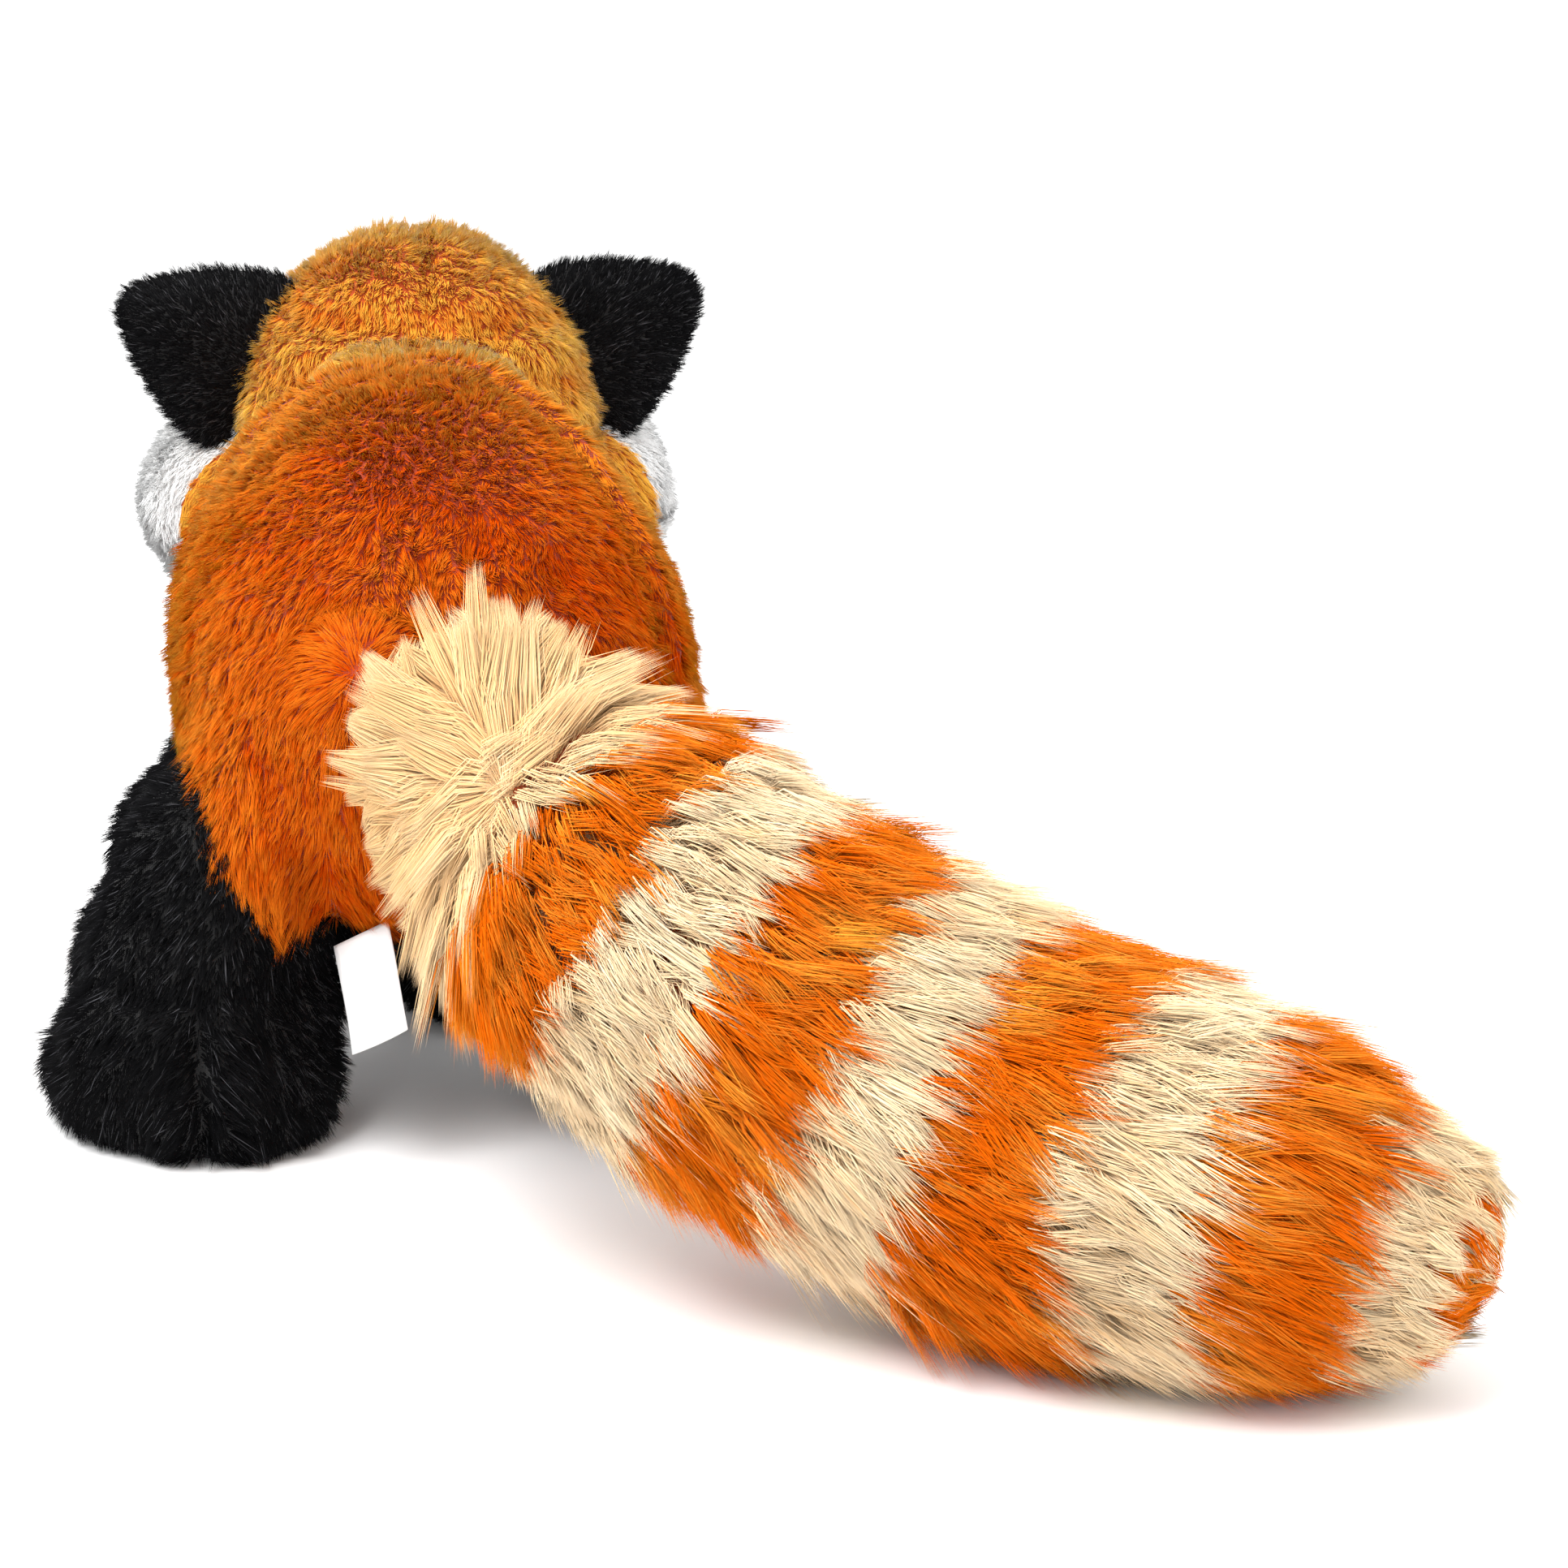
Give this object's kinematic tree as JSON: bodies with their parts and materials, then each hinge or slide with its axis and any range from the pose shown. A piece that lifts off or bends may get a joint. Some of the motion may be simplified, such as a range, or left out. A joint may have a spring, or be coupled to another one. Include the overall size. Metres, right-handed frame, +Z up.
{
  "type": "plush red panda",
  "caption": "Standing plush red panda with a rust back, black legs, a long ringed tail and a bare satin label; head, ears, legs, tail and label move on sewn joints.",
  "frame": {"origin": "on the floor under the middle of the whole toy's box", "axes": "+Z up, +Y towards the tail, so the animal faces -Y, and +X towards its left side"},
  "size_m": [0.3014, 0.5416, 0.2064],
  "materials": {
    "rust_pile": "short rust pile",
    "amber_pile": "amber pile",
    "cream_pile": "long cream pile",
    "black_pile": "short black pile",
    "white_pile": "short white pile",
    "polyester_fill": "loose fibre",
    "satin": "woven satin",
    "black_thread": "twisted thread",
    "eye_plastic": "polished",
    "nose_plastic": "fine grain",
    "washer_plastic": "moulded"
  },
  "bodies": {
    "torso": {"back_panel_left": "rust_pile", "back_panel_right": "rust_pile", "belly_panel": "black_pile", "body_stuffing": "polyester_fill"},
    "head": {"head_back_left": "amber_pile", "head_back_right": "amber_pile", "forehead_panel": "amber_pile", "chin_panel": "black_pile", "cheek_left": "white_pile", "cheek_right": "white_pile", "muzzle_panel": "white_pile", "brow_left": "white_pile", "brow_right": "white_pile", "head_stuffing": "polyester_fill", "eye_left": "eye_plastic", "eye_right": "eye_plastic", "eye_washer_left": "washer_plastic", "eye_washer_right": "washer_plastic", "nose": "nose_plastic", "nose_washer": "washer_plastic", "mouth_stitch": "black_thread"},
    "tail": {"tail_band_1": "cream_pile", "tail_band_2": "amber_pile", "tail_band_3": "cream_pile", "tail_band_4": "amber_pile", "tail_band_5": "cream_pile", "tail_band_6": "amber_pile", "tail_band_7": "cream_pile", "tail_band_8": "amber_pile", "tail_band_9": "cream_pile", "tail_band_10": "amber_pile", "tail_stuffing": "polyester_fill"},
    "label": {"care_label": "satin"},
    "ear_left": {"ear_back_left": "black_pile", "ear_lining_left": "white_pile"},
    "front_left_leg": {"front_left_leg_cover": "black_pile", "front_left_leg_stuffing": "polyester_fill"},
    "hind_left_leg": {"hind_left_leg_cover": "black_pile", "hind_left_leg_stuffing": "polyester_fill"},
    "ear_right": {"ear_back_right": "black_pile", "ear_lining_right": "white_pile"},
    "front_right_leg": {"front_right_leg_cover": "black_pile", "front_right_leg_stuffing": "polyester_fill"},
    "hind_right_leg": {"hind_right_leg_cover": "black_pile", "hind_right_leg_stuffing": "polyester_fill"}
  },
  "joints": [
    {"name": "head_turn", "type": "hinge", "parent": "torso", "child": "head", "pos_m": [0.03711, -0.12975, 0.136], "axis": [0, 0, 1], "range_deg": [-12, 12], "stiffness_Nm_per_rad": 3},
    {"name": "ear_left_fold", "type": "hinge", "parent": "head", "child": "ear_left", "pos_m": [0.06684, -0.18225, 0.1623], "axis": [-0.4848, 0, 0.8746], "range_deg": [-18, 18], "stiffness_Nm_per_rad": 0.05},
    {"name": "ear_right_fold", "type": "hinge", "parent": "head", "child": "ear_right", "pos_m": [-0.00662, -0.18225, 0.1623], "axis": [0.4848, 0, 0.8746], "range_deg": [-18, 18], "stiffness_Nm_per_rad": 0.05},
    {"name": "front_left_leg_swing", "type": "hinge", "parent": "torso", "child": "front_left_leg", "pos_m": [0.08961, -0.09675, 0.077], "axis": [1, 0, 0], "range_deg": [-12, 12], "stiffness_Nm_per_rad": 2},
    {"name": "front_right_leg_swing", "type": "hinge", "parent": "torso", "child": "front_right_leg", "pos_m": [-0.00139, -0.09675, 0.077], "axis": [1, 0, 0], "range_deg": [-12, 12], "stiffness_Nm_per_rad": 2},
    {"name": "hind_left_leg_swing", "type": "hinge", "parent": "torso", "child": "hind_left_leg", "pos_m": [0.09711, -0.00575, 0.079], "axis": [1, 0, 0], "range_deg": [-12, 12], "stiffness_Nm_per_rad": 2},
    {"name": "hind_right_leg_swing", "type": "hinge", "parent": "torso", "child": "hind_right_leg", "pos_m": [-0.00889, -0.00575, 0.079], "axis": [1, 0, 0], "range_deg": [-12, 12], "stiffness_Nm_per_rad": 2},
    {"name": "tail_wag", "type": "hinge", "parent": "torso", "child": "tail", "pos_m": [0.04811, 0.07325, 0.104], "axis": [0, 0, 1], "range_deg": [-24, 8], "stiffness_Nm_per_rad": 2},
    {"name": "label_flap", "type": "hinge", "parent": "torso", "child": "label", "pos_m": [0.07311, 0.02342, 0.055], "axis": [0.7647, -0.4415, -0.4695], "range_deg": [0, 40]}
  ]
}
